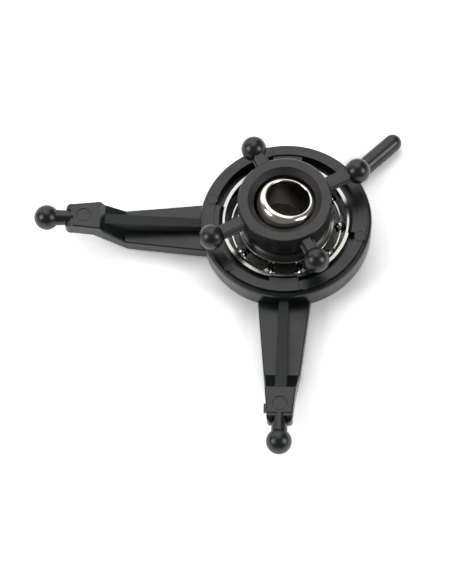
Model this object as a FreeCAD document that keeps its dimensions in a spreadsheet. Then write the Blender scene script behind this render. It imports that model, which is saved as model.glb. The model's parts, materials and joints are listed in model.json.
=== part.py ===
"""Swashplate of a small coaxial helicopter.

All lengths are in millimetres.  The origin is the centre of the pivot ball, which is the
point the plate tilts about.  +Z is the rotation axis, pointing to the link arms.  The two
servo arms of the lower ring point along -X and -Y, and its anti-rotation pin points
half-way between +X and +Y.
"""
import FreeCAD
import Part
import Sketcher
import math
import os
from FreeCAD import Placement, Rotation, Vector

DIMENSIONS = [
    # alias, value, what it is
    ("ball_radius", 4.5, "pivot ball, radius of the sphere"),
    ("ball_half_height", 2.6, "pivot ball, centre to each flat face"),
    ("ball_lip", 0.2, "pivot ball, height of the sloping lip where the sphere meets a face"),
    ("shaft_radius", 3.0, "bore of the pivot ball for the main shaft"),
    ("bore_chamfer", 0.35, "chamfer at both ends of the shaft bore"),
    ("ball_tilt", 15.0, "tilt of the pivot ball at rest, degrees"),
    ("ball_heading", 45.0, "direction the pivot ball leans to, degrees from +X"),
    ("running_gap", 0.05, "gap of a running fit"),
    ("bearing_top", -3.1, "height of the top face of both bearing races"),
    ("bearing_width", 4.0, "width of the ball bearing"),
    ("bearing_bore_radius", 6.0, "bore of the inner race"),
    ("bearing_outer_radius", 9.0, "outside of the outer race"),
    ("inner_land_radius", 6.7, "outside of the inner race"),
    ("outer_land_radius", 8.42, "inside of the outer race"),
    ("race_chamfer", 0.06, "chamfer on the corners of both races"),
    ("pitch_radius", 7.5, "circle through the centres of the rolling balls"),
    ("rolling_radius", 0.794, "rolling ball, 1/16 inch across"),
    ("groove_radius", 0.83, "section radius of the raceways"),
    ("race_gap", 0.012, "gap between a rolling ball and each raceway"),
    ("cage_inner_radius", 7.52, "inside of the upright wall of the crown cage"),
    ("cage_sheet", 0.16, "sheet thickness of the crown cage"),
    ("cage_top", -4.6, "height of the prongs of the crown cage"),
    ("cage_bottom", -6.3, "underside of the crown cage"),
    ("pocket_gap", 0.02, "gap between a rolling ball and its pocket"),
    ("prong_dip", 0.15, "how far the prongs sink towards a rolling ball"),
    ("prong_dip_radius", 3.6, "radius of that dip, seen along a spoke of the bearing"),
    ("ring_bottom", -8.45, "underside of the lower ring"),
    ("ring_foot_radius", 10.7, "outside of the ring at its underside"),
    ("ring_bevel_top", -6.5, "height where the lower bevel of the ring starts"),
    ("ring_wall_radius", 11.9, "outside wall of the ring"),
    ("ring_draft", 0.12, "draft of the wall between the bevel and the edge of the step"),
    ("ring_tread", -3.05, "height of the narrow step round the ring"),
    ("ring_edge_round", 0.4, "rounding of the outer edge of the step"),
    ("land_top", -2.47, "height of the flat land of the ring"),
    ("land_inner_radius", 10.0, "inside of the land"),
    ("land_outer_radius", 11.26, "outside of the land"),
    ("gutter_floor", -4.0, "floor of the gutter between the bearing and the land"),
    ("lip_radius", 8.45, "hole through the floor that carries the outer race"),
    ("tab_span", 24.0, "angle covered by each snap tab, degrees"),
    ("tab_top", -2.72, "height of the snap tabs"),
    ("tab_crest_radius", 9.25, "inner edge of the top of a snap tab"),
    ("tab_nose_radius", 8.78, "innermost edge of a snap tab, over the outer race"),
    ("tab_nose_height", 0.1, "height of the blunt nose of a snap tab"),
    ("mark_radius", 0.75, "round ejector pads on the land"),
    ("mark_circle_radius", 10.64, "circle of the ejector pads"),
    ("mark_height", 0.04, "height of the ejector pads above the land"),
    ("arm_root", 10.6, "where the servo arm is buried in the ring"),
    ("arm_root_half", 3.7, "half width of the servo arm at its root"),
    ("arm_shoulder", 29.7, "where the servo arm's end starts to round off"),
    ("arm_shoulder_half", 1.745, "half width of the servo arm there"),
    ("arm_end", 30.65, "end face of the servo arm"),
    ("arm_end_half", 1.35, "half width of the end face"),
    ("plate_bottom", -7.55, "underside of the servo arm's plate"),
    ("plate_top", -5.7, "top of the servo arm's plate"),
    ("ramp_start", 22.45, "foot of the ramp on the servo arm"),
    ("ramp_end", 25.2, "head of the ramp"),
    ("ramp_top", -3.3, "height of the head of the ramp"),
    ("pad_start", 25.75, "where the end pad begins"),
    ("pad_top", -2.2, "top of the end pad"),
    ("pad_bottom", -4.35, "underside of the end pad"),
    ("pad_front", 29.45, "front edge of the level part of the end pad"),
    ("pad_front_drop", 0.14, "step down from the end pad to its nose"),
    ("pad_front_round", 0.9, "rounding over the nose of the end pad"),
    ("pad_front_chamfer", 0.25, "chamfer under the nose of the end pad"),
    ("arm_edge_round", 0.22, "rounding of the long edges of the servo arm"),
    ("nose_round", 0.85, "rounding of the upright corners of the nose"),
    ("under_ramp_start", 22.2, "where the underside starts to rise"),
    ("under_ramp_end", 26.8, "where the underside is level again"),
    ("rib_root_top", -4.35, "top of the middle rib at the ring"),
    ("rib_root_half", 0.63, "half width of the middle rib at the ring"),
    ("rib_head_half", 0.77, "half width of the middle rib at the pad"),
    ("rib_depth", 0.3, "how deep the middle rib is buried in the plate"),
    ("eject_circle_at", 28.1, "ejector mark on the end pad"),
    ("eject_circle_radius", 1.0, "radius of the ejector mark"),
    ("eject_depth", 0.06, "depth of the ejector mark"),
    ("servo_ball_at", 33.3, "centre of the servo link ball"),
    ("servo_ball_height", -3.2, "height of the servo link ball"),
    ("link_ball_radius", 1.75, "all six link balls"),
    ("servo_neck_radius", 1.0, "neck behind the servo link ball"),
    ("servo_neck_end_radius", 1.12, "neck where it meets the servo link ball"),
    ("neck_depth", 0.5, "how deep the neck is buried in the arm"),
    ("neck_short", 1.1, "where the neck ends, short of the centre of the ball"),
    ("neck_recess_radius", 1.22, "recess round the root of the neck"),
    ("neck_recess_depth", 0.75, "depth of that recess"),
    ("pin_height", -7.2, "axis of the anti-rotation pin"),
    ("pin_radius", 1.25, "anti-rotation pin"),
    ("pin_dome_at", 20.65, "centre of the pin's round end"),
    ("pin_collar_radius", 1.42, "collar at the root of the pin"),
    ("pin_collar_end", 12.7, "where the collar has tapered down to the pin"),
    ("flange_radius", 6.46, "flange of the star"),
    ("flange_top", 2.95, "top of the flange"),
    ("flange_chamfer", 0.15, "chamfer on the upper edge of the flange"),
    ("flange_bottom", 0.75, "underside of the flange"),
    ("flange_mouth_radius", 4.96, "opening in the top of the flange"),
    ("flange_mouth_chamfer", 0.12, "chamfer round that opening"),
    ("mouth_radius", 4.25, "throat that holds the pivot ball from above"),
    ("mouth_top", 2.25, "height of the upper edge of the throat"),
    ("star_neck_radius", 5.85, "neck of the star above the bearing"),
    ("seat_radius", 6.18, "shoulder that sits on the inner race"),
    ("seat_height", 0.45, "height of that shoulder"),
    ("seat_slope", 0.2, "height of the slope from the shoulder to the neck"),
    ("star_bottom", -7.4, "underside of the star"),
    ("star_lip", 0.14, "snap lip under the inner race"),
    ("star_lip_height", 0.15, "height of the blunt edge of the snap lip"),
    ("retainer_radius", 5.0, "bore of the star that takes the ball retainer"),
    ("retainer_top", -1.5, "top of the ball retainer"),
    ("retainer_bottom", -4.1, "underside of the ball retainer"),
    ("retainer_waist_radius", 4.05, "narrowest place of the ball retainer"),
    ("retainer_waist", -2.1, "height of that place"),
    ("retainer_mouth_radius", 4.45, "lower opening of the ball retainer"),
    ("flare_start", -6.3, "where the bore of the star starts to flare"),
    ("flare_radius", 5.4, "lower opening of the star"),
    ("star_heading", 28.0, "direction of the long link arms, degrees from +X"),
    ("long_arm", 11.17, "centre of a link ball on a long arm"),
    ("short_arm", 9.68, "centre of a link ball on a short arm"),
    ("link_height", 1.65, "height of the star's link balls and parting plane"),
    ("star_arm_root", 5.56, "where a star arm is buried in the flange"),
    ("arm_top", 2.5, "top of a star arm"),
    ("arm_top_half", 0.55, "half width of the flat top of a star arm"),
    ("arm_side_half", 0.82, "half width of a star arm above its fins"),
    ("arm_side_drop", 0.25, "height of the upright sides of a star arm below its fins"),
    ("fin_half", 1.08, "half width across the parting fins"),
    ("fin_half_height", 0.14, "half the thickness of the parting fins"),
    ("arm_under_half", 0.5, "half width of the underside of a star arm"),
    ("arm_under", 0.85, "underside of a star arm"),
    ("gate_at", 28.5, "middle of the gate stub, along the south arm"),
    ("gate_length", 1.2, "length of the gate stub"),
    ("gate_height", 0.6, "height of the gate stub"),
    ("gate_reach", 0.45, "how far the gate stub stands out"),
    ("gate_level", -3.3, "height of the middle of the gate stub"),
    ("overlap", 0.1, "how far one solid runs into another that it is joined to"),
]

ROLLING_BALLS = 10
SLACK = 0.01
SERVO_ARM_HEADINGS = {"west": 180.0, "south": 270.0}

doc = FreeCAD.newDocument("swashplate")
sheet = doc.addObject("Spreadsheet::Sheet", "dim")


def fill_sheet():
    """Writes one dimension to each row: words, number, alias."""
    for row, (alias, value, words) in enumerate(DIMENSIONS, start=1):
        sheet.set("A%d" % row, words)
        sheet.set("B%d" % row, str(value))
        sheet.setAlias("B%d" % row, alias)
    doc.recompute()


fill_sheet()


def number(expression):
    """The value of an expression over the sheet, as a plain number."""
    result = sheet.evalExpression(str(expression))
    return float(getattr(result, "Value", result))


def bind(thing, **expressions):
    """Binds properties of an object to expressions over the sheet."""
    for name, expression in expressions.items():
        thing.setExpression(name, expression)


def add(kind, name, **expressions):
    """A document object whose sizes are expressions."""
    thing = doc.addObject(kind, name)
    bind(thing, **expressions)
    return thing


# ---------------------------------------------------------------- sketches

def outline(sketch, corners):
    """A closed outline; each corner is held by two expressions.

    A third expression makes the edge that leaves the corner an arc of that radius, which
    bulges outwards when the corners run counter-clockwise.
    """
    points = [Vector(number(corner[0]), number(corner[1]), 0) for corner in corners]
    edges = []
    for index, (corner, point) in enumerate(zip(corners, points)):
        following = points[(index + 1) % len(points)]
        if len(corner) == 3:
            edges.append(sketch.addGeometry(arc_between(point, following, number(corner[2]))))
        else:
            edges.append(sketch.addGeometry(Part.LineSegment(point, following)))
    for edge, following in zip(edges, edges[1:] + edges[:1]):
        sketch.addConstraint(Sketcher.Constraint("Coincident", edge, 2, following, 1))
    for edge, corner in zip(edges, corners):
        hold_point(sketch, edge, 1, corner[0], corner[1])
        if len(corner) == 3:
            radius = Sketcher.Constraint("Radius", edge, number(corner[2]))
            place = sketch.addConstraint(radius)
            sketch.setExpression("Constraints[%d]" % place, corner[2])


def arc_between(start, end, radius):
    """The short counter-clockwise arc of a radius from one point to another."""
    chord = end - start
    across = Vector(-chord.y, chord.x, 0).normalize()
    centre = start + chord * 0.5 + across * math.sqrt(radius ** 2 - (chord.Length / 2) ** 2)
    full = Part.Circle(centre, Vector(0, 0, 1), radius)
    return Part.ArcOfCircle(full, full.parameter(start), full.parameter(end))


def hold_point(sketch, edge, end, across, up):
    """Holds one end of an edge at two distances from the sketch's origin."""
    for kind, expression in (("DistanceX", across), ("DistanceY", up)):
        distance = Sketcher.Constraint(kind, -1, 1, edge, end, number(expression))
        place = sketch.addConstraint(distance)
        sketch.setExpression("Constraints[%d]" % place, expression)


def body_plane(body, role):
    """One of the body's own origin planes or axes."""
    return next(feature for feature in body.Origin.OriginFeatures if feature.Role == role)


def body_sketch(body, name, role, corners):
    """A sketch with one outline on one of the body's origin planes."""
    sketch = body.newObject("Sketcher::SketchObject", name)
    sketch.AttachmentSupport = [(body_plane(body, role), "")]
    sketch.MapMode = "FlatFace"
    outline(sketch, corners)
    return sketch


def turned(body, name, corners):
    """A full revolution of an outline about the body's Z axis."""
    sketch = body_sketch(body, name + "_outline", "XZ_Plane", corners)
    feature = body.newObject("PartDesign::Revolution", name)
    feature.Profile = sketch
    feature.ReferenceAxis = (body_plane(body, "Z_Axis"), [""])
    feature.Angle = 360.0
    return feature


def repeated(body, name, features, count):
    """Equal turns of some features about the body's Z axis."""
    pattern = body.newObject("PartDesign::PolarPattern", name)
    pattern.Originals = features
    pattern.Axis = (body_plane(body, "Z_Axis"), [""])
    pattern.Angle = 360.0
    pattern.Occurrences = count
    body.Tip = pattern
    return pattern


def edges_where(thing, wanted):
    """Numbers of an object's edges whose two ends pass a test."""
    doc.recompute()
    found = []
    for index, edge in enumerate(thing.Shape.Edges, start=1):
        if wanted(edge.Vertexes[0].Point, edge.Vertexes[-1].Point):
            found.append(index)
    return found


def near(one, other):
    """True where two lengths are the same."""
    return abs(one - other) < SLACK


# ---------------------------------------------------------------- pivot ball

def make_pivot_ball():
    """A bored ball with two sloping lips, leaning on the shaft's way through."""
    body = doc.addObject("PartDesign::Body", "pivot_ball")
    bore = "dim.shaft_radius"
    half = "dim.ball_half_height"
    edge = "dim.bore_chamfer"
    lip_start = "sqrt(dim.ball_radius^2 - %s^2) - dim.ball_lip" % half
    rim_up = "%s - dim.ball_lip" % half
    rim_across = "sqrt(dim.ball_radius^2 - (%s)^2)" % rim_up
    turned(body, "ball", [
        (bore, "-(%s - %s)" % (half, edge)),
        ("%s + %s" % (bore, edge), "-" + half),
        (lip_start, "-" + half),
        (rim_across, "-(%s)" % rim_up, "dim.ball_radius"),
        (rim_across, rim_up),
        (lip_start, half),
        ("%s + %s" % (bore, edge), half),
        (bore, "%s - %s" % (half, edge)),
    ])
    heading = math.radians(number("dim.ball_heading"))
    tilt_axis = Vector(-math.sin(heading), math.cos(heading), 0)
    body.Placement = Placement(Vector(), Rotation(tilt_axis, number("dim.ball_tilt")))
    return body


# ---------------------------------------------------------------- bearing

def make_race(name, inner, outer, groove_centre):
    """One race: a chamfered ring with a round groove for the rolling balls."""
    body = doc.addObject("PartDesign::Body", name)
    top = "dim.bearing_top"
    bottom = "dim.bearing_top - dim.bearing_width"
    corner = "dim.race_chamfer"
    turned(body, name + "_ring", [
        (inner, bottom + " + " + corner),
        (inner + " + " + corner, bottom),
        (outer + " - " + corner, bottom),
        (outer, bottom + " + " + corner),
        (outer, top + " - " + corner),
        (outer + " - " + corner, top),
        (inner + " + " + corner, top),
        (inner, top + " - " + corner),
    ])
    groove = body.newObject("PartDesign::SubtractiveTorus", name + "_groove")
    bind(groove, Radius1=groove_centre, Radius2="dim.groove_radius")
    groove.setExpression("Placement.Base.z", "dim.bearing_top - dim.bearing_width / 2")
    return body


def rolling_angle(index):
    """Direction of a rolling ball, in degrees."""
    return index * 360.0 / ROLLING_BALLS


def make_rolling_ball(index):
    """One loose ball of the bearing, in its place round the raceway."""
    ball = add("Part::Sphere", "bearing_ball_%02d" % (index + 1), Radius="dim.rolling_radius")
    angle = "%g deg" % rolling_angle(index)
    ball.setExpression("Placement.Base.x", "dim.pitch_radius * cos(%s)" % angle)
    ball.setExpression("Placement.Base.y", "dim.pitch_radius * sin(%s)" % angle)
    ball.setExpression("Placement.Base.z", "dim.bearing_top - dim.bearing_width / 2")
    return ball


def radial_rod(name, index, radius, height):
    """A round rod that points away from the axis, over or through a rolling ball."""
    rod = add("Part::Cylinder", name, Radius=radius, Height="2 * dim.cage_inner_radius")
    turn = Rotation(Vector(0, 0, 1), rolling_angle(index))
    rod.Placement.Rotation = turn * Rotation(Vector(0, 1, 0), 90)
    rod.setExpression("Placement.Base.z", height)
    return rod


def tube(name, inner, outer, bottom, height):
    """A plain ring between two radii."""
    outside = add("Part::Cylinder", name + "_outside", Radius=outer, Height=height)
    inside = add("Part::Cylinder", name + "_inside", Radius=inner, Height=height)
    for cylinder in (outside, inside):
        cylinder.setExpression("Placement.Base.z", bottom)
    ring = doc.addObject("Part::Cut", name)
    ring.Base = outside
    ring.Tool = inside
    return ring


def make_cage():
    """The crown cage: a thin upright wall with a pocket for each ball, open at the top.

    The pockets reach past the middle of the balls, so the balls snap in from above.  The
    prongs between the pockets sink a little towards each ball.
    """
    wall = tube("cage_wall", "dim.cage_inner_radius", "dim.cage_inner_radius + dim.cage_sheet",
                "dim.cage_bottom", "dim.cage_top - dim.cage_bottom")
    openings = doc.addObject("Part::MultiFuse", "cage_openings")
    rods = []
    for index in range(ROLLING_BALLS):
        rods.append(radial_rod("pocket_%02d" % (index + 1), index,
                               "dim.rolling_radius + dim.pocket_gap",
                               "dim.bearing_top - dim.bearing_width / 2"))
        rods.append(radial_rod("dip_%02d" % (index + 1), index, "dim.prong_dip_radius",
                               "dim.cage_top - dim.prong_dip + dim.prong_dip_radius"))
    openings.Shapes = rods
    cage = doc.addObject("Part::Cut", "bearing_cage")
    cage.Base = wall
    cage.Tool = openings
    return cage


# ---------------------------------------------------------------- lower ring

def make_ring_blank():
    """The turned part of the lower ring, with its snap tabs and ejector pads."""
    body = doc.addObject("PartDesign::Body", "ring_blank")
    race_floor = "dim.bearing_top - dim.bearing_width"
    halfway = "dim.ring_edge_round * (1 - cos(45 deg))"
    turned(body, "ring", [
        ("dim.lip_radius", "dim.ring_bottom"),
        ("dim.ring_foot_radius", "dim.ring_bottom"),
        ("dim.ring_wall_radius - dim.ring_draft", "dim.ring_bevel_top"),
        ("dim.ring_wall_radius", "dim.ring_tread - dim.ring_edge_round"),
        ("dim.ring_wall_radius - %s" % halfway, "dim.ring_tread - %s" % halfway),
        ("dim.ring_wall_radius - dim.ring_edge_round", "dim.ring_tread"),
        ("dim.land_outer_radius", "dim.ring_tread"),
        ("dim.land_outer_radius", "dim.land_top"),
        ("dim.land_inner_radius", "dim.land_top"),
        ("dim.land_inner_radius", "dim.gutter_floor"),
        ("dim.bearing_outer_radius", "dim.gutter_floor"),
        ("dim.bearing_outer_radius", race_floor),
        ("dim.lip_radius", race_floor),
    ])
    tab_outline = body_sketch(body, "tab_outline", "XZ_Plane", [
        ("dim.bearing_outer_radius", "dim.gutter_floor - dim.overlap"),
        ("dim.land_inner_radius + dim.overlap", "dim.gutter_floor - dim.overlap"),
        ("dim.land_inner_radius + dim.overlap", "dim.tab_top"),
        ("dim.tab_crest_radius", "dim.tab_top"),
        ("dim.tab_nose_radius", "dim.bearing_top + dim.tab_nose_height"),
        ("dim.tab_nose_radius", "dim.bearing_top"),
        ("dim.bearing_outer_radius", "dim.bearing_top"),
    ])
    tab = body.newObject("PartDesign::Revolution", "snap_tab")
    tab.Profile = tab_outline
    tab.ReferenceAxis = (body_plane(body, "Z_Axis"), [""])
    bind(tab, Angle="dim.tab_span")
    tab.Midplane = True
    repeated(body, "snap_tabs", [tab], 4)
    pad = body.newObject("PartDesign::AdditiveCylinder", "ejector_pad")
    bind(pad, Radius="dim.mark_radius",
         Height="dim.land_top + dim.mark_height - dim.ring_tread + dim.overlap")
    pad.setExpression("Placement.Base.x", "dim.mark_circle_radius * cos(45 deg)")
    pad.setExpression("Placement.Base.y", "dim.mark_circle_radius * sin(45 deg)")
    pad.setExpression("Placement.Base.z", "dim.ring_tread - dim.overlap")
    repeated(body, "ejector_pads", [pad], 6)
    return body


def free_sketch(name, turn, corners):
    """A sketch in a plane of its own, for a plain extrusion."""
    sketch = doc.addObject("Sketcher::SketchObject", name)
    sketch.Placement = Placement(Vector(), turn)
    outline(sketch, corners)
    return sketch


def extruded(name, sketch, length, both_ways=False):
    """A solid extrusion of a sketch along its own normal."""
    solid = doc.addObject("Part::Extrusion", name)
    solid.Base = sketch
    solid.DirMode = "Normal"
    solid.Solid = True
    solid.Symmetric = both_ways
    solid.setExpression("LengthFwd", length)
    return solid


def tapered_bar(name, side, plan):
    """What a side view and a plan view have in common."""
    upright = Rotation(Vector(1, 0, 0), 90)
    side_sketch = free_sketch(name + "_side", upright, side)
    plan_sketch = free_sketch(name + "_plan", Rotation(), plan)
    side_solid = extruded(name + "_side_solid", side_sketch, "4 * dim.arm_root_half", True)
    plan_solid = extruded(name + "_plan_solid", plan_sketch, "-2 * dim.ring_bottom", True)
    bar = doc.addObject("Part::Common", name)
    bar.Base = side_solid
    bar.Tool = plan_solid
    return bar


def make_arm_plate(name):
    """The plate of a servo arm: low at the ring, up a ramp, then the end pad."""
    nose = "dim.pad_front_round"
    nose_top = "dim.pad_top - dim.pad_front_drop"
    side = [
        ("dim.arm_root", "dim.plate_bottom"),
        ("dim.under_ramp_start", "dim.plate_bottom"),
        ("dim.under_ramp_end", "dim.pad_bottom"),
        ("dim.arm_end - dim.pad_front_chamfer", "dim.pad_bottom"),
        ("dim.arm_end", "dim.pad_bottom + dim.pad_front_chamfer"),
        ("dim.arm_end", nose_top + " - " + nose, nose),
        ("dim.arm_end - " + nose, nose_top),
        ("dim.pad_front", nose_top),
        ("dim.pad_front", "dim.pad_top"),
        ("dim.pad_start", "dim.pad_top"),
        ("dim.ramp_end", "dim.ramp_top"),
        ("dim.ramp_start", "dim.plate_top"),
        ("dim.arm_root", "dim.plate_top"),
    ]
    plan = [
        ("dim.arm_root", "-dim.arm_root_half"),
        ("dim.arm_shoulder", "-dim.arm_shoulder_half", "dim.nose_round"),
        ("dim.arm_end", "-dim.arm_end_half"),
        ("dim.arm_end", "dim.arm_end_half", "dim.nose_round"),
        ("dim.arm_shoulder", "dim.arm_shoulder_half"),
        ("dim.arm_root", "dim.arm_root_half"),
    ]
    return tapered_bar(name, side, plan)


def make_arm_rib(name):
    """The rib along the middle of a servo arm, up to the foot of the end pad."""
    side = [
        ("dim.arm_root", "dim.plate_top - dim.rib_depth"),
        ("dim.ramp_start", "dim.plate_top - dim.rib_depth"),
        ("dim.pad_start - dim.overlap", "dim.ramp_top - 2 * dim.rib_depth"),
        ("dim.pad_start - dim.overlap", "dim.ramp_top"),
        ("dim.ramp_end", "dim.ramp_top"),
        ("dim.arm_root", "dim.rib_root_top"),
    ]
    plan = [
        ("dim.arm_root", "-dim.rib_root_half"),
        ("dim.pad_start", "-dim.rib_head_half"),
        ("dim.pad_start", "dim.rib_head_half"),
        ("dim.arm_root", "dim.rib_root_half"),
    ]
    return tapered_bar(name, side, plan)


def lying(name, kind, start, height, **expressions):
    """A cylinder or cone that lies along +X."""
    solid = add(kind, name, **expressions)
    solid.Placement.Rotation = Rotation(Vector(0, 1, 0), 90)
    solid.setExpression("Placement.Base.x", start)
    solid.setExpression("Placement.Base.z", height)
    return solid


def round_arm_edges(name, blank):
    """Rounds the upper side edges of a servo arm."""
    levels = [number("dim." + level) for level in ("plate_top", "ramp_top", "pad_top")]

    def on_side(point):
        upper = any(near(point.z, level) for level in levels)
        return upper and near(abs(point.y), plate_half_width(point.x))

    def side_edge(start, end):
        return on_side(start) and on_side(end) and not near(start.x, end.x)

    radius = number("dim.arm_edge_round")
    rounded = doc.addObject("Part::Fillet", name + "_rounded")
    rounded.Base = blank
    rounded.Edges = [(index, radius, radius) for index in edges_where(blank, side_edge)]
    return rounded


def plate_half_width(along):
    """Half width of the servo arm's plate at a distance from the axis."""
    root, shoulder = number("dim.arm_root"), number("dim.arm_shoulder")
    wide, narrow = number("dim.arm_root_half"), number("dim.arm_shoulder_half")
    return wide + (narrow - wide) * (along - root) / (shoulder - root)


def make_servo_arm(name, heading):
    """One servo arm with its link ball, made along +X and turned to its heading."""
    blank = doc.addObject("Part::MultiFuse", name + "_blank")
    blank.Shapes = [make_arm_plate(name + "_plate"), make_arm_rib(name + "_rib")]
    blank.Refine = True
    rounded = round_arm_edges(name, blank)
    recess = lying(name + "_recess", "Part::Cylinder", "dim.arm_end - dim.neck_recess_depth",
                   "dim.servo_ball_height", Radius="dim.neck_recess_radius",
                   Height="2 * dim.neck_recess_depth")
    mark = add("Part::Cylinder", name + "_mark", Radius="dim.eject_circle_radius",
               Height="2 * dim.eject_depth")
    mark.setExpression("Placement.Base.x", "dim.eject_circle_at")
    mark.setExpression("Placement.Base.z", "dim.pad_top - dim.eject_depth")
    cut_tools = doc.addObject("Part::MultiFuse", name + "_cuts")
    cut_tools.Shapes = [recess, mark]
    moulded = doc.addObject("Part::Cut", name + "_moulded")
    moulded.Base = rounded
    moulded.Tool = cut_tools
    neck_start = "dim.arm_end - dim.neck_recess_depth - dim.neck_depth"
    neck = lying(name + "_neck", "Part::Cone", neck_start, "dim.servo_ball_height",
                 Radius1="dim.servo_neck_radius", Radius2="dim.servo_neck_end_radius",
                 Height="dim.servo_ball_at - dim.neck_short - (%s)" % neck_start)
    ball = add("Part::Sphere", name + "_ball", Radius="dim.link_ball_radius")
    ball.setExpression("Placement.Base.x", "dim.servo_ball_at")
    ball.setExpression("Placement.Base.z", "dim.servo_ball_height")
    arm = doc.addObject("Part::MultiFuse", name)
    arm.Shapes = [moulded, neck, ball]
    arm.Placement.Rotation = Rotation(Vector(0, 0, 1), heading)
    return arm


def make_pin():
    """The round-ended pin that keeps the ring from turning, with a collar at its root."""
    shank = lying("pin_shank", "Part::Cylinder", "dim.arm_root", "dim.pin_height",
                  Radius="dim.pin_radius", Height="dim.pin_dome_at - dim.arm_root")
    dome = add("Part::Sphere", "pin_dome", Radius="dim.pin_radius")
    dome.setExpression("Placement.Base.x", "dim.pin_dome_at")
    dome.setExpression("Placement.Base.z", "dim.pin_height")
    collar = lying("pin_collar_round", "Part::Cone", "dim.arm_root", "dim.pin_height",
                   Radius1="dim.pin_collar_radius", Radius2="dim.pin_radius",
                   Height="dim.pin_collar_end - dim.arm_root")
    above_table = add("Part::Box", "pin_collar_room", Length="dim.pin_collar_end",
                      Width="4 * dim.pin_radius", Height="4 * dim.pin_radius")
    above_table.setExpression("Placement.Base.y", "-2 * dim.pin_radius")
    above_table.setExpression("Placement.Base.z", "dim.ring_bottom")
    flat_collar = doc.addObject("Part::Common", "pin_collar")
    flat_collar.Base = collar
    flat_collar.Tool = above_table
    pin = doc.addObject("Part::MultiFuse", "pin")
    pin.Shapes = [shank, dome, flat_collar]
    pin.Placement.Rotation = Rotation(Vector(0, 0, 1), 45)
    return pin


def make_gate_stub():
    """What is left of the gate, on the outer side of the south arm's end pad."""
    stub = add("Part::Box", "gate_stub", Length="dim.gate_reach + dim.arm_shoulder_half",
               Width="dim.gate_length", Height="dim.gate_height")
    stub.setExpression("Placement.Base.x", "-dim.arm_shoulder_half - dim.gate_reach")
    stub.setExpression("Placement.Base.y", "-dim.gate_at - dim.gate_length / 2")
    stub.setExpression("Placement.Base.z", "dim.gate_level - dim.gate_height / 2")
    return stub


def make_lower_ring():
    """The moulded ring that does not turn."""
    ring = doc.addObject("Part::MultiFuse", "lower_ring")
    arms = [
        make_servo_arm("arm_" + side, heading) for side, heading in SERVO_ARM_HEADINGS.items()
    ]
    ring.Shapes = [make_ring_blank(), make_pin(), make_gate_stub()] + arms
    return ring


# ---------------------------------------------------------------- star

def make_star():
    """The moulded star that turns with the rotor: hub, socket and four link arms."""
    body = doc.addObject("PartDesign::Body", "star")
    race_floor = "dim.bearing_top - dim.bearing_width"
    edge = "dim.flange_chamfer"
    mouth_edge = "dim.flange_mouth_chamfer"
    turned(body, "hub", [
        ("dim.flare_radius", "dim.star_bottom"),
        ("dim.bearing_bore_radius", "dim.star_bottom"),
        ("dim.bearing_bore_radius + dim.star_lip", race_floor + " - dim.star_lip_height"),
        ("dim.bearing_bore_radius + dim.star_lip", race_floor),
        ("dim.bearing_bore_radius", race_floor + " + dim.running_gap"),
        ("dim.bearing_bore_radius", "dim.bearing_top"),
        ("dim.seat_radius", "dim.bearing_top"),
        ("dim.seat_radius", "dim.bearing_top + dim.seat_height"),
        ("dim.star_neck_radius", "dim.bearing_top + dim.seat_height + dim.seat_slope"),
        ("dim.star_neck_radius", "dim.flange_bottom"),
        ("dim.flange_radius", "dim.flange_bottom"),
        ("dim.flange_radius", "dim.flange_top - " + edge),
        ("dim.flange_radius - " + edge, "dim.flange_top"),
        ("dim.flange_mouth_radius + " + mouth_edge, "dim.flange_top"),
        ("dim.flange_mouth_radius", "dim.flange_top - " + mouth_edge),
        ("dim.mouth_radius", "dim.mouth_top"),
        ("dim.mouth_radius", "0"),
        ("dim.ball_radius + dim.running_gap", "0"),
        ("dim.ball_radius + dim.running_gap", "dim.retainer_top"),
        ("dim.retainer_radius", "dim.retainer_top"),
        ("dim.retainer_radius", "dim.flare_start"),
    ])
    socket = body.newObject("PartDesign::SubtractiveSphere", "socket")
    bind(socket, Radius="dim.ball_radius + dim.running_gap")
    arm_features = []
    for name, plane, reach in (("long", "YZ_Plane", "dim.long_arm"),
                               ("short", "XZ_Plane", "dim.short_arm")):
        features = make_star_arm(body, name, plane, reach)
        arm_features.append(repeated(body, name + "_arms", features, 2))
    body.Placement = Placement(Vector(), Rotation(Vector(0, 0, 1), number("dim.star_heading")))
    return body


def make_star_arm(body, name, plane, reach):
    """One link arm: a flat-topped bar with a parting fin on each side, and its ball."""
    section = body.newObject("Sketcher::SketchObject", name + "_section")
    section.AttachmentSupport = [(body_plane(body, plane), "")]
    section.MapMode = "FlatFace"
    section.AttachmentOffset = Placement(Vector(0, 0, number("dim.star_arm_root")), Rotation())
    right = [
        ("dim.arm_under_half", "dim.arm_under"),
        ("dim.arm_side_half", "dim.link_height - dim.fin_half_height - dim.arm_side_drop"),
        ("dim.arm_side_half", "dim.link_height - dim.fin_half_height"),
        ("dim.fin_half", "dim.link_height - dim.fin_half_height"),
        ("dim.fin_half", "dim.link_height + dim.fin_half_height"),
        ("dim.arm_side_half", "dim.link_height + dim.fin_half_height"),
        ("dim.arm_top_half", "dim.arm_top"),
    ]
    left = [("-" + across, up) for across, up in reversed(right)]
    outline(section, right + left)
    bar = body.newObject("PartDesign::Pad", name + "_bar")
    bar.Profile = section
    bar.setExpression("Length", "%s - dim.star_arm_root" % reach)
    ball = body.newObject("PartDesign::AdditiveSphere", name + "_ball")
    bind(ball, Radius="dim.link_ball_radius")
    if plane == "YZ_Plane":
        ball.setExpression("Placement.Base.x", reach)
    else:
        ball.setExpression("Placement.Base.y", "-(%s)" % reach)
    ball.setExpression("Placement.Base.z", "dim.link_height")
    return [bar, ball]


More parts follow.
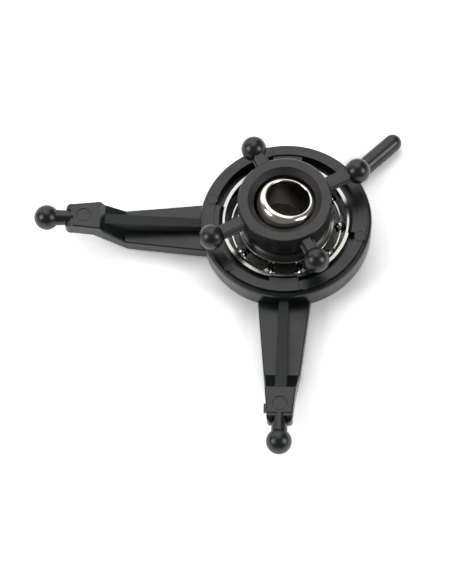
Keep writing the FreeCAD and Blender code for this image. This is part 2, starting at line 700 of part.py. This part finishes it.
def make_ball_retainer():
    """The collar pressed into the star from below, which holds the pivot ball up."""
    body = doc.addObject("PartDesign::Body", "ball_retainer")
    turned(body, "collar", [
        ("dim.retainer_waist_radius", "dim.retainer_waist"),
        ("dim.retainer_mouth_radius", "dim.retainer_bottom"),
        ("dim.retainer_radius", "dim.retainer_bottom"),
        ("dim.retainer_radius", "dim.retainer_top"),
        ("dim.retainer_waist_radius", "dim.retainer_top"),
    ])
    seat = body.newObject("PartDesign::SubtractiveSphere", "seat")
    bind(seat, Radius="dim.ball_radius + dim.running_gap")
    return body


# ---------------------------------------------------------------- check and write

def check_document():
    """Stops when any object has failed to compute."""
    for thing in doc.Objects:
        if "Invalid" in thing.State or "Error" in thing.State:
            raise RuntimeError("%s: %s" % (thing.Name, thing.State))


def write_steps(pieces):
    """Writes each sub-part to its own file, named after its label."""
    os.makedirs("parts", exist_ok=True)
    for piece in pieces:
        shape = piece.Shape
        if shape.isNull() or not shape.isValid() or len(shape.Solids) != 1:
            raise RuntimeError("%s is not one valid solid" % piece.Name)
        shape.exportStep(os.path.join("parts", piece.Label + ".step"))
        print("%-16s %9.3f mm3" % (piece.Label, shape.Volume))


def main():
    pieces = [
        make_lower_ring(),
        make_race("outer_race", "dim.outer_land_radius", "dim.bearing_outer_radius",
                  "dim.pitch_radius + dim.rolling_radius + dim.race_gap - dim.groove_radius"),
        make_race("inner_race", "dim.bearing_bore_radius", "dim.inner_land_radius",
                  "dim.pitch_radius - dim.rolling_radius - dim.race_gap + dim.groove_radius"),
        make_star(),
        make_ball_retainer(),
        make_pivot_ball(),
        make_cage(),
    ]
    pieces += [make_rolling_ball(index) for index in range(ROLLING_BALLS)]
    doc.recompute()
    check_document()
    write_steps(pieces)


main()
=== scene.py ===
# %% [markdown]
# # A swashplate of a small helicopter
#
# The swashplate carries the pilot's commands from the body of the helicopter, which stands
# still, to the rotor, which turns. Its solids come from CAD, each one a separate piece.
# This lesson gives them their finishes, lights them softly on a pale table, and sets up
# the camera. It is written in small steps, so that each one can be tried by itself.

# %% Open the CAD pieces
import json
import math

import bpy
from mathutils import Euler, Matrix, Quaternion, Vector


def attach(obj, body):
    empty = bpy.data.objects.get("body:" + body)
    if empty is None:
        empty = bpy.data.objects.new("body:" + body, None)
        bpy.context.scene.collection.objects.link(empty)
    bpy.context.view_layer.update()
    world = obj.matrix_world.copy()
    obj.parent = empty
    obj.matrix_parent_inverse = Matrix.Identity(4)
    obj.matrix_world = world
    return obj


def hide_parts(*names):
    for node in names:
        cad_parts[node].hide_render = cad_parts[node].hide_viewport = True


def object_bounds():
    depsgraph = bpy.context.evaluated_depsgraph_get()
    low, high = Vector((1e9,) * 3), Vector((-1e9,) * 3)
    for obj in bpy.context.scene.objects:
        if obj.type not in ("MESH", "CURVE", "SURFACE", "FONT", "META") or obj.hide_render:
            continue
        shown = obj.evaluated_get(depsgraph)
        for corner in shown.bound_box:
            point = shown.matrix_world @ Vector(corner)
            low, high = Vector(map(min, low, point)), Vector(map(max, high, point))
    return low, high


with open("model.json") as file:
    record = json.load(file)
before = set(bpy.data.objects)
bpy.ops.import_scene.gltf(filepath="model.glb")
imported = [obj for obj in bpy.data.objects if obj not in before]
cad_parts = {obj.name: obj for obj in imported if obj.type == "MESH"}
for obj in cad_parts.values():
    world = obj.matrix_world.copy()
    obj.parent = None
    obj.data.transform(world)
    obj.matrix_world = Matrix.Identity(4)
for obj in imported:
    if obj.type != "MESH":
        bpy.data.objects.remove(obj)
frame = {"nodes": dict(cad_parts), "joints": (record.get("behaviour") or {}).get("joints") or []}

cad_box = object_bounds()
cad = frame["nodes"]
print("CAD pieces:", ", ".join(sorted(cad)))

# %% [markdown]
# ## Units
#
# Blender works in metres and this part is as wide as a walnut, so sizes below are written
# in millimetres and multiplied by `MM`. The sheet of colours uses the same hex values as
# a web page. Shaders need linear values, so one function turns one into the other.

# %% Millimetres and colours
MM = 0.001


def colour(hex_value):
    """A linear colour with alpha, from an sRGB hex value."""
    channels = [int(hex_value[i:i + 2], 16) / 255 for i in (1, 3, 5)]
    linear = [c / 12.92 if c <= 0.04045 else ((c + 0.055) / 1.055) ** 2.4 for c in channels]
    return (*linear, 1.0)


print("mid grey is", [round(c, 3) for c in colour("#808080")[:3]], "in linear light")

# %% [markdown]
# ## A helper for shader nodes
#
# Every finish is a small network of nodes. Adding a node always takes the same three
# steps: make it, change its settings, and give its sockets a number or a link. One
# function does all three, so that each material below reads as a list of what it holds.

# %% One function that adds a node
def add_node(tree, kind, sockets, **settings):
    """Adds a node; a socket takes a plain value or the output of another node."""
    node = tree.nodes.new(kind)
    for name, value in settings.items():
        setattr(node, name, value)
    for key, value in sockets.items():
        if isinstance(value, bpy.types.NodeSocket):
            tree.links.new(value, node.inputs[key])
        else:
            node.inputs[key].default_value = value
    return node


def new_material(name):
    """An empty material: its node tree and its Principled shader."""
    material = bpy.data.materials.new(name)
    material.use_nodes = True
    return material, material.node_tree, material.node_tree.nodes["Principled BSDF"]


# %% [markdown]
# ## Black glass-filled nylon
#
# The ring and the star are injection moulded in black nylon with short glass fibres. It
# comes out of the mould as a dark charcoal with a satin skin: broad soft reflections, a
# fine grain from the mould's surface, and slightly duller patches where fibres lie near
# the skin. So the shader has a near-black base, a middling roughness that drifts over a
# few millimetres, and a very low bump with the grain's own size.
#
# Two places look duller and darker: the ribs of the servo arms and the mouth over the
# pivot ball. A spark eroder, which cuts the deep narrow places of a mould, leaves such a
# coarse skin, so they are made that way. A `zone` finds each place by its distance from
# the axis and its height, and a rib also by its distance from the arm's middle.

# %% Material: black glass-filled nylon
GRAIN = 0.16 * MM
GRAIN_DEPTH = 0.009 * MM
PATCH = 2.6 * MM
DULL_ROUGHNESS = 0.62
RIB_HALF = 0.85 * MM
# Each pair is a middle and how far the zone reaches to both sides of it.
RIB_ALONG = (18.9 * MM, 6.9 * MM)
RIB_HEIGHTS = (-4.4 * MM, 1.15 * MM)
MOUTH_RADII = (4.62 * MM, 0.5 * MM)
MOUTH_HEIGHTS = (2.58 * MM, 0.36 * MM)


def math_node(tree, operation, *values):
    """The result of one operation on plain values or outputs."""
    return add_node(tree, "ShaderNodeMath", dict(enumerate(values)), operation=operation).outputs[0]


def zone(tree, *limits):
    """One where each value lies within a reach of its centre, and nought elsewhere."""
    inside = 1.0
    for value, centre, reach in limits:
        inside = math_node(tree, "MULTIPLY", inside,
                           math_node(tree, "COMPARE", value, centre, reach))
    return inside


def black_nylon():
    """The nylon's satin skin, with its grain, its patches and its two dull zones."""
    material, tree, shader = new_material("moulded_black_nylon")
    place = add_node(tree, "ShaderNodeTexCoord", {}).outputs["Object"]
    grain = add_node(tree, "ShaderNodeTexNoise", {
        "Vector": place, "Scale": 1 / GRAIN, "Detail": 2.0, "Roughness": 0.55})
    patch = add_node(tree, "ShaderNodeTexNoise", {
        "Vector": place, "Scale": 1 / PATCH, "Detail": 3.0, "Roughness": 0.6})
    skin = add_node(tree, "ShaderNodeMapRange", {
        "Value": patch.outputs["Fac"], "From Min": 0.3, "From Max": 0.7,
        "To Min": 0.26, "To Max": 0.36})
    x, y, height = add_node(tree, "ShaderNodeSeparateXYZ", {"Vector": place}).outputs
    across = math_node(tree, "MINIMUM", math_node(tree, "ABSOLUTE", x),
                       math_node(tree, "ABSOLUTE", y))
    flat = add_node(tree, "ShaderNodeCombineXYZ", {"X": x, "Y": y})
    radius = add_node(tree, "ShaderNodeVectorMath", {0: flat.outputs[0]},
                      operation="LENGTH").outputs["Value"]
    rib = zone(tree, (across, 0.0, RIB_HALF), (radius, *RIB_ALONG), (height, *RIB_HEIGHTS))
    mouth = zone(tree, (radius, *MOUTH_RADII), (height, *MOUTH_HEIGHTS))
    eroded = math_node(tree, "MAXIMUM", rib, mouth)
    rough = add_node(tree, "ShaderNodeMix", {0: eroded, 2: skin.outputs[0], 3: DULL_ROUGHNESS})
    tint = add_node(tree, "ShaderNodeMix", {
        0: patch.outputs["Fac"], 6: colour("#0a0e0d"), 7: colour("#0f1413")},
        data_type="RGBA")
    bump = add_node(tree, "ShaderNodeBump", {
        "Height": grain.outputs["Fac"], "Distance": GRAIN_DEPTH,
        "Strength": math_node(tree, "MULTIPLY_ADD", eroded, 0.5, 0.5)})
    shader.inputs["IOR"].default_value = 1.54
    tree.links.new(tint.outputs[2], shader.inputs["Base Color"])
    tree.links.new(rough.outputs[0], shader.inputs["Roughness"])
    tree.links.new(bump.outputs["Normal"], shader.inputs["Normal"])
    return material


nylon = black_nylon()
print("made", nylon.name)

# %% [markdown]
# ## Ground bearing steel
#
# Both races are hardened chrome steel, ground while they spin. Grinding leaves very fine
# rings about the axis, which stretch each reflection a little across the lines. The rings
# are drawn as a wave pattern about the Z axis. Real ones are a few hundredths of a
# millimetre apart, too fine to show, so these are several times coarser. Below the top
# faces the raceways take a much darker tone than the clean rims: painted shade for the
# deep gap between the races.

# %% Material: ground bearing steel
# At a scale of 1, the wave node's sine turns through this many radians in one metre.
WAVE_RATE = 20
SMUDGE = 1.5 * MM
GRINDING_PITCH = 0.18 * MM
# The raceways below this height take the darker tone: painted shade between the races.
SHADE_LEVEL = -3.16 * MM


def turned_metal(name, tone, roughness, pitch, depth, turn=Euler((0, 0, 0)), shade_tone=None):
    """A bare metal with fine rings about an axis, as a grinder or a lathe leaves them.

    The rings are one pitch apart. With a second tone given, what lies below the shade level
    takes that tone as painted shade.
    """
    material, tree, shader = new_material(name)
    place = add_node(tree, "ShaderNodeTexCoord", {}).outputs["Object"]
    upright = add_node(tree, "ShaderNodeMapping", {"Vector": place, "Rotation": turn})
    rings = add_node(tree, "ShaderNodeTexWave", {
        "Vector": upright.outputs["Vector"], "Scale": math.tau / (WAVE_RATE * pitch),
        "Distortion": 0.4, "Detail": 2.0},
        wave_type="RINGS", rings_direction="Z")
    smudge = add_node(tree, "ShaderNodeTexNoise", {
        "Vector": place, "Scale": 1 / SMUDGE, "Detail": 3.0})
    rough = add_node(tree, "ShaderNodeMapRange", {
        "Value": smudge.outputs["Fac"], "From Min": 0.3, "From Max": 0.7,
        "To Min": roughness * 0.8, "To Max": roughness * 1.25})
    bump = add_node(tree, "ShaderNodeBump", {
        "Height": rings.outputs["Fac"], "Strength": 0.3, "Distance": depth})
    # Below the shade level the second tone is painted shade.
    height = add_node(tree, "ShaderNodeSeparateXYZ", {"Vector": place}).outputs["Z"]
    tint = add_node(tree, "ShaderNodeMix", {
        0: math_node(tree, "LESS_THAN", height, SHADE_LEVEL),
        6: colour(tone), 7: colour(shade_tone or tone)}, data_type="RGBA")
    tree.links.new(tint.outputs[2], shader.inputs["Base Color"])
    shader.inputs["Metallic"].default_value = 1.0
    tree.links.new(rough.outputs["Result"], shader.inputs["Roughness"])
    tree.links.new(bump.outputs["Normal"], shader.inputs["Normal"])
    return material


# The darker second tone is painted shade for the gap between the races.
race_steel = turned_metal("ground_bearing_steel", "#b7b6b2", 0.18, GRINDING_PITCH, 0.001 * MM,
                          shade_tone="#6f6d69")
print("made", race_steel.name)

# %% [markdown]
# ## Cage, rolling balls and pivot ball
#
# The cage is pressed from bright steel strip and tumbled, so it is softer to look at than
# the races. The rolling balls are lapped until they are mirrors. The pivot ball is turned
# steel with a nickel plate: a mirror too, but a warmer one, with faint lathe rings that
# lie square to its own leaning axis. It leans about the axis of its joint.

# %% Materials: strip steel, lapped steel, nickel plate
TURNING_PITCH = 0.4 * MM
LAPPING_PITCH = 0.6 * MM
REST_LEAN = math.radians(15)

cage_steel = turned_metal("tumbled_strip_steel", "#bfbfbc", 0.18, TURNING_PITCH, 0.001 * MM)
rolling_steel = turned_metal("lapped_ball_steel", "#c6c6c4", 0.05, LAPPING_PITCH, 0.0002 * MM)

tilt_joint = next(joint for joint in frame["joints"] if joint["name"] == "ball_tilt")
lean = Matrix.Rotation(REST_LEAN, 3, Vector(tilt_joint["axis"]))
nickel = turned_metal("nickel_plated_steel", "#e2dcd1", 0.14, TURNING_PITCH, 0.0001 * MM,
                      lean.inverted().to_euler())
# The bore's darker tone is painted shade inside the hole; its higher roughness is its real dulling.
shaded_bore_metal = turned_metal("shaded_nickel_bore", "#8b867c", 0.22, TURNING_PITCH, 0.0002 * MM,
                          lean.inverted().to_euler())
print("the pivot ball leans", round(math.degrees(REST_LEAN), 1), "degrees")

# %% [markdown]
# ## Pivot ball
#
# The ball slides on the main shaft, and the whole swashplate tilts on it. The real one is
# turned on a lathe and polished, so its lips run into the sphere and into the bore with no
# edge at all, which is what makes the bright unbroken ring round the shaft. The CAD piece
# has plain sloping lips, so a smooth one is made here in its place.
#
# A lathe makes a shape by its section. The wire below is that section: up the bore, round
# each lip, along the sphere and back. Every arc starts where the last one ended, with the
# same direction, so nothing catches the light. Spinning the wire makes the ball. The bore
# is dulled by the shaft that slides in it, so it is rougher, and its tone is painted darker
# as shade inside the hole.

# %% Piece: the pivot ball, spun from its section
BALL_RADIUS = 4.5 * MM
HALF_HEIGHT = 2.6 * MM
BORE_RADIUS = 3.0 * MM
LIP_RADIUS = 0.85 * MM
EDGE_STEPS = 8
LIP_STEPS = 10
SPHERE_STEPS = 20
ROUND_STEPS = 144
WELD = 0.001 * MM


def start_wire(name, point):
    """A new mesh in edit mode, which is a single vertex at a point."""
    bpy.ops.object.select_all(action="DESELECT")
    bpy.ops.mesh.primitive_plane_add(size=MM, location=(0, 0, 0))
    bpy.context.object.name = name
    bpy.ops.object.mode_set(mode="EDIT")
    bpy.ops.mesh.merge(type="COLLAPSE")
    bpy.ops.transform.translate(value=point)
    return bpy.context.object


def draw_arc(across, up, degrees, steps):
    """Carries the wire round a centre in the XZ plane, from up towards +X."""
    bpy.ops.mesh.spin(steps=steps, angle=-math.radians(degrees), center=(across, 0, up),
                      axis=(0, 1, 0))


def draw_line(height):
    """Carries the wire straight up or down."""
    bpy.ops.mesh.extrude_region_move(TRANSFORM_OT_translate={"value": (0, 0, height)})


lip_up = HALF_HEIGHT - LIP_RADIUS
lip_across = math.sqrt((BALL_RADIUS - LIP_RADIUS) ** 2 - lip_up ** 2)
bore_edge = lip_across - BORE_RADIUS
edge_up = HALF_HEIGHT - bore_edge
sphere_starts = math.degrees(math.atan2(lip_up, lip_across))

pivot_ball = start_wire("polished_pivot_ball", (BORE_RADIUS, 0, 0))
draw_line(edge_up)
draw_arc(lip_across, edge_up, 90, EDGE_STEPS)
draw_arc(lip_across, lip_up, 90 - sphere_starts, LIP_STEPS)
draw_arc(0, 0, 2 * sphere_starts, SPHERE_STEPS)
draw_arc(lip_across, -lip_up, 90 - sphere_starts, LIP_STEPS)
draw_arc(lip_across, -edge_up, 90, EDGE_STEPS)
draw_line(edge_up)
bpy.ops.mesh.select_all(action="SELECT")
bpy.ops.mesh.spin(steps=ROUND_STEPS, angle=math.tau, center=(0, 0, 0), axis=(0, 0, 1))
bpy.ops.mesh.select_all(action="SELECT")
bpy.ops.mesh.remove_doubles(threshold=WELD)
bpy.ops.mesh.normals_make_consistent(inside=False)
bpy.ops.object.mode_set(mode="OBJECT")
pivot_ball.data.materials.append(nickel)
pivot_ball.data.materials.append(shaded_bore_metal)
# Faces in the bore take the metal with the painted shade.
for face in pivot_ball.data.polygons:
    in_bore = face.center.xy.length < BORE_RADIUS + WELD
    face.material_index = 1 if in_bore else 0
pivot_ball.rotation_euler = lean.to_euler()
bpy.ops.object.transform_apply(rotation=True)
bpy.ops.object.shade_smooth()
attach(pivot_ball, "ball")
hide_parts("pivot_ball")
print("the ball has", len(pivot_ball.data.polygons), "faces and is",
      [round(size / MM, 2) for size in pivot_ball.dimensions], "mm")

# %% [markdown]
# ## Witness lines of the ejector pins
#
# When the mould opens, steel pins push the ring out of it. A hair of nylon creeps into the
# gap round each pin and is left as a fine raised circle: six on the land of the ring and
# one on each servo arm's end. They are thin tori, half sunk in the surface.

# %% Piece: the witness lines
LINE = 0.04 * MM
LAND_AT, LAND_TOP, LAND_PIN = 10.64 * MM, -2.43 * MM, 0.75 * MM
PAD_AT, PAD_TOP, PAD_PIN = 28.1 * MM, -2.2 * MM, 1.0 * MM
PINS = [(LAND_AT, 45 + 60 * turn, LAND_TOP, LAND_PIN) for turn in range(6)]
PINS += [(PAD_AT, heading, PAD_TOP, PAD_PIN) for heading in (180, 270)]

bpy.ops.object.select_all(action="DESELECT")
circles = []
for distance, heading, height, pin_radius in PINS:
    angle = math.radians(heading)
    bpy.ops.mesh.primitive_torus_add(
        major_radius=pin_radius, minor_radius=LINE, major_segments=48, minor_segments=8,
        location=(distance * math.cos(angle), distance * math.sin(angle), height))
    bpy.ops.object.transform_apply(location=True)
    bpy.ops.object.shade_smooth()
    circles.append(bpy.context.object)
for circle in circles:
    circle.select_set(True)
bpy.ops.object.join()
witness_lines = bpy.context.object
witness_lines.name = "ejector_witness_lines"
witness_lines.data.materials.append(nylon)
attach(witness_lines, "root")
print("drew", len(circles), "circles")

# %% [markdown]
# ## Hand the finishes out
#
# A CAD piece keeps its own mesh, as it was imported. Its one material slot is filled here.

# %% Put each material on its pieces
FINISHES = {
    "lower_ring": nylon,
    "star": nylon,
    "ball_retainer": nylon,
    "outer_race": race_steel,
    "inner_race": race_steel,
    "pivot_ball": nickel,
    "bearing_cage": cage_steel,
}
for name, piece in sorted(cad.items()):
    finish = FINISHES.get(name, rolling_steel)
    piece.data.materials.clear()
    piece.data.materials.append(finish)
    print(name, "is", finish.name)

# %% [markdown]
# ## Table
#
# The part lies on a white table. A lamp level that suits the black nylon leaves a white
# sheet well short of pure white. So the colour that the camera and mirrors see is raised by
# half, and the light that the table throws back on the part stays plain. The table's
# shading is kept, so the part still casts its soft shadow.

# %% A plain pale floor
FLOOR_DROP = 0.15 * MM
FLOOR_SIZE = 3.0
SEEN_WHITE = 1.5

bpy.ops.object.select_all(action="DESELECT")
floor_height = cad_box[0][2] - FLOOR_DROP
bpy.ops.mesh.primitive_plane_add(size=FLOOR_SIZE, location=(0, 0, floor_height))
table = bpy.context.object
table.name = "table"

material, tree, shader = new_material("white_table")
path = add_node(tree, "ShaderNodeLightPath", {})
seen = add_node(tree, "ShaderNodeMath", {
    0: path.outputs["Is Camera Ray"], 1: path.outputs["Is Glossy Ray"]},
    operation="MAXIMUM")
paint = add_node(tree, "ShaderNodeMix", {
    0: seen.outputs[0], 6: colour("#ededed"), 7: (SEEN_WHITE, SEEN_WHITE, SEEN_WHITE, 1)},
    data_type="RGBA")
matte = add_node(tree, "ShaderNodeBsdfDiffuse", {"Color": paint.outputs[2]})
tree.links.new(matte.outputs[0], tree.nodes["Material Output"].inputs["Surface"])
tree.nodes.remove(shader)
table.data.materials.append(material)
print("the table lies at", round(floor_height / MM, 2), "mm")

# %% [markdown]
# ## Soft light
#
# A white room gives every side of the part some light. Four softboxes shape it: a wide one
# high behind the part, which lies as a grey sheen on all level faces, a long low one behind
# it, which runs as a bright line along the far edges and over the steel, and one on each
# side, which gives every ball its two soft highlights.

# %% World and softboxes
ROOM_LIGHT = 0.18

world = bpy.data.worlds.new("white_room")
bpy.context.scene.world = world
world.use_nodes = True
tree = world.node_tree
path = add_node(tree, "ShaderNodeLightPath", {})
seen = add_node(tree, "ShaderNodeMapRange", {
    "Value": path.outputs["Is Camera Ray"], "To Min": ROOM_LIGHT, "To Max": 1.0})
room = tree.nodes["Background"]
room.inputs["Color"].default_value = (1, 1, 1, 1)
tree.links.new(seen.outputs["Result"], room.inputs["Strength"])

SOFTBOXES = {
    # name: (heading, elevation, distance in metres, width, height, watts)
    "softbox_behind": (97, 66, 0.62, 0.55, 0.45, 1.22),
    "backdrop": (112, 30, 0.70, 1.2, 0.5, 2.3),
    "softbox_left": (200, 36, 0.60, 0.27, 0.33, 1.4),
    "softbox_right": (-16, 33, 0.60, 0.27, 0.33, 1.4),
}
for name, (heading, elevation, distance, width, height, watts) in SOFTBOXES.items():
    turn = Euler((0, math.radians(-elevation), math.radians(heading)))
    out = turn.to_matrix() @ Vector((1, 0, 0))
    bpy.ops.object.light_add(type="AREA", location=out * distance)
    lamp = bpy.context.object
    lamp.name = name
    lamp.rotation_euler = out.to_track_quat("Z", "Y").to_euler()
    lamp.data.shape = "RECTANGLE"
    lamp.data.size, lamp.data.size_y = width, height
    lamp.data.energy = watts
    print(name, "gives", watts, "W from", [round(c, 2) for c in lamp.location], "m")

# %% [markdown]
# ## Camera
#
# The camera stands well back with a long lens and looks steeply down on the part. It is
# turned and rolled a little, as a camera held in the hand is.

# %% The camera
VIEW_ELEVATION = math.radians(63.66)
VIEW_TURN = math.radians(7.5)
VIEW_ROLL = math.radians(-5.98)
VIEW_DISTANCE = 400 * MM
VIEW_TARGET = Vector((-7.884, -11.244, -3.1)) * MM
SENSOR_HEIGHT = 36
LENS = 180.04
NEAREST = 10 * MM

forward = Vector((
    -math.sin(VIEW_TURN) * math.cos(VIEW_ELEVATION),
    math.cos(VIEW_TURN) * math.cos(VIEW_ELEVATION),
    -math.sin(VIEW_ELEVATION)))
bpy.ops.object.camera_add(location=VIEW_TARGET - forward * VIEW_DISTANCE)
camera = bpy.context.object
aim = forward.to_track_quat("-Z", "Y")
camera.rotation_euler = (aim @ Quaternion((0, 0, 1), VIEW_ROLL)).to_euler()
camera.data.sensor_fit = "VERTICAL"
camera.data.sensor_height = SENSOR_HEIGHT
camera.data.lens = LENS
camera.data.clip_start = NEAREST
bpy.context.scene.camera = camera
bpy.context.scene.view_settings.view_transform = "Standard"
print("camera at", [round(c / MM) for c in camera.location], "mm")
